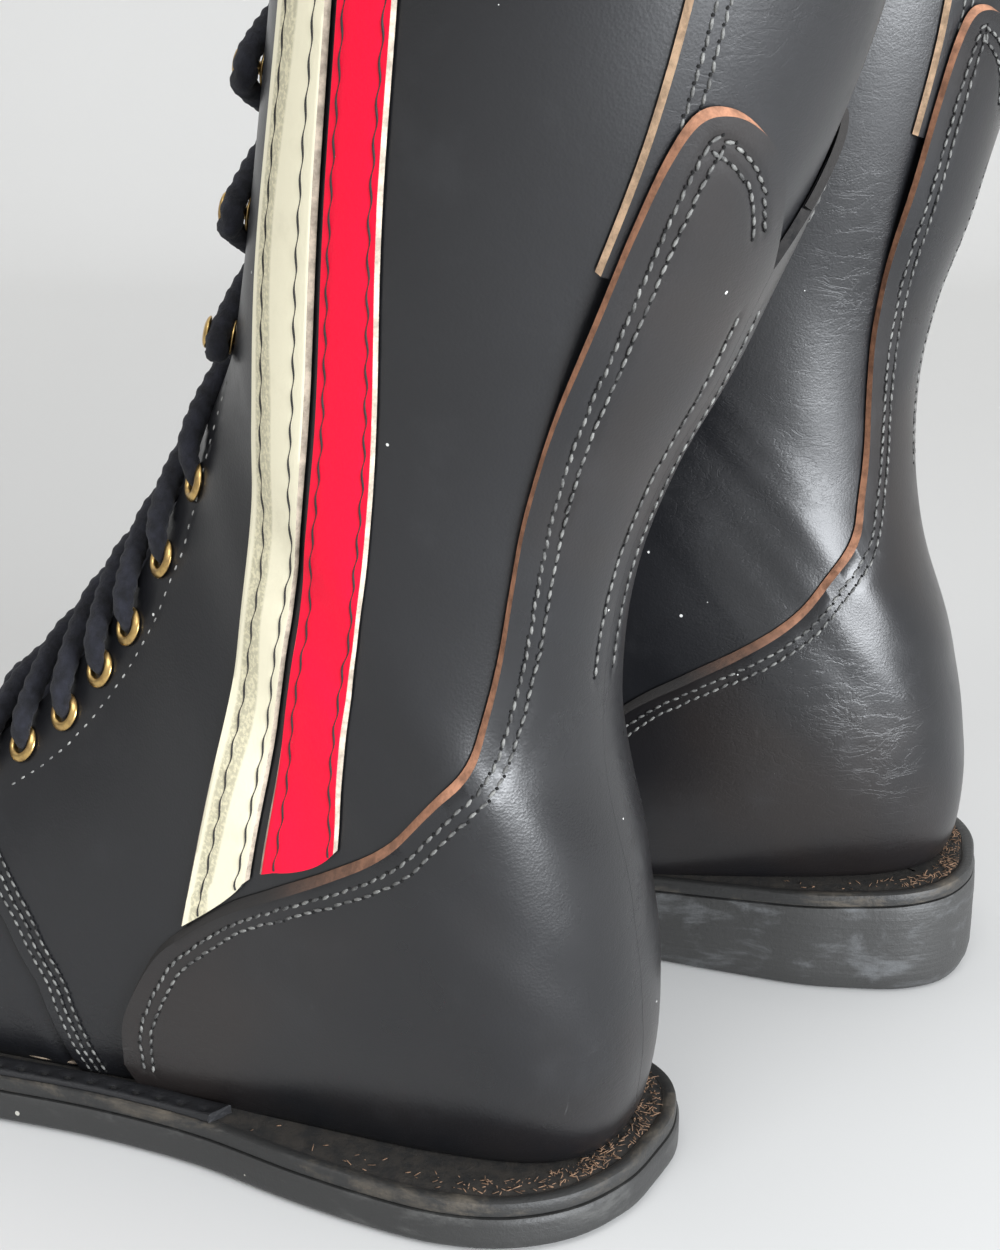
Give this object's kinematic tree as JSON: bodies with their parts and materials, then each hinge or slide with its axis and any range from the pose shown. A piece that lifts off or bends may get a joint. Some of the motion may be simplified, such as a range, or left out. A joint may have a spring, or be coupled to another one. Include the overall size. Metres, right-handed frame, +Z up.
{
  "type": "pair of boxing boots",
  "caption": "Pair of tall laced boxing boots in black leather with a cream and a red side stripe, standing side by side.",
  "frame": {"origin": "on the floor, under the middle of the pair's outside box", "axes": "+Z up; -Y towards the left boot's toe; +X towards the left boot's outer side"},
  "size_m": [0.2729, 0.3445, 0.3558],
  "materials": {
    "upper_leather": "smooth black leather, satin",
    "cover_leather": "smooth black leather with raw tan edges",
    "stay_leather": "black leather, dull",
    "tongue_leather": "smooth black leather",
    "binding_leather": "folded black leather binding",
    "lining_leather": "brown leather, matt",
    "stripe_cream": "cream leather, fine pebble",
    "stripe_red": "crimson leather, satin",
    "outsole_rubber": "dark grey rubber, scuffed",
    "midsole_rubber": "dark grey, rough",
    "welt_leather": "black welt strip, rough",
    "cork": "cork sheet",
    "insole_board": "brown leather board",
    "stiffener_board": "leather board",
    "shank_steel": "bare spring steel",
    "brass": "aged brass",
    "lace_cotton": "fuzzy black cotton cord",
    "aglet_plastic": "black tip"
  },
  "bodies": {
    "left_boot": {"left_outsole": "outsole_rubber", "left_midsole": "midsole_rubber", "left_welt": "welt_leather", "left_shank": "shank_steel", "left_filler": "cork", "left_insole": "insole_board", "left_sock_liner": "lining_leather", "left_vamp": "upper_leather", "left_vamp_lining": "lining_leather", "left_toe_puff": "stiffener_board", "left_quarter_lateral": "upper_leather", "left_quarter_medial": "upper_leather", "left_lining_lateral": "lining_leather", "left_lining_medial": "lining_leather", "left_heel_cover_lateral": "cover_leather", "left_heel_cover_medial": "cover_leather", "left_heel_stiffener": "stiffener_board", "left_back_strap": "cover_leather", "left_stay_lateral": "stay_leather", "left_stay_medial": "stay_leather", "left_stripe_cream": "stripe_cream", "left_stripe_red": "stripe_red", "left_top_binding": "binding_leather", "left_eyelets": "brass", "left_lace_hooks": "brass", "left_lace": "lace_cotton", "left_aglets": "aglet_plastic"},
    "left_tongue": {"left_tongue": "tongue_leather"},
    "right_boot": {"right_outsole": "outsole_rubber", "right_midsole": "midsole_rubber", "right_welt": "welt_leather", "right_shank": "shank_steel", "right_filler": "cork", "right_insole": "insole_board", "right_sock_liner": "lining_leather", "right_vamp": "upper_leather", "right_vamp_lining": "lining_leather", "right_toe_puff": "stiffener_board", "right_quarter_lateral": "upper_leather", "right_quarter_medial": "upper_leather", "right_lining_lateral": "lining_leather", "right_lining_medial": "lining_leather", "right_heel_cover_lateral": "cover_leather", "right_heel_cover_medial": "cover_leather", "right_heel_stiffener": "stiffener_board", "right_back_strap": "cover_leather", "right_stay_lateral": "stay_leather", "right_stay_medial": "stay_leather", "right_stripe_cream": "stripe_cream", "right_stripe_red": "stripe_red", "right_top_binding": "binding_leather", "right_eyelets": "brass", "right_lace_hooks": "brass", "right_lace": "lace_cotton", "right_aglets": "aglet_plastic"},
    "right_tongue": {"right_tongue": "tongue_leather"}
  },
  "joints": [
    {"name": "right_boot_lift", "type": "slide", "parent": "left_boot", "child": "right_boot", "axis": [0, 0, 1], "range_m": [0, 0.4]},
    {"name": "left_tongue_fold", "type": "hinge", "parent": "left_boot", "child": "left_tongue", "pos_m": [0.0776, -0.0579, 0.085], "axis": [-1, 0, 0], "range_deg": [0, 6]},
    {"name": "right_tongue_fold", "type": "hinge", "parent": "right_boot", "child": "right_tongue", "pos_m": [-0.0484, -0.0252, 0.0934], "axis": [-0.9681, -0.2504, 0], "range_deg": [0, 6]}
  ]
}
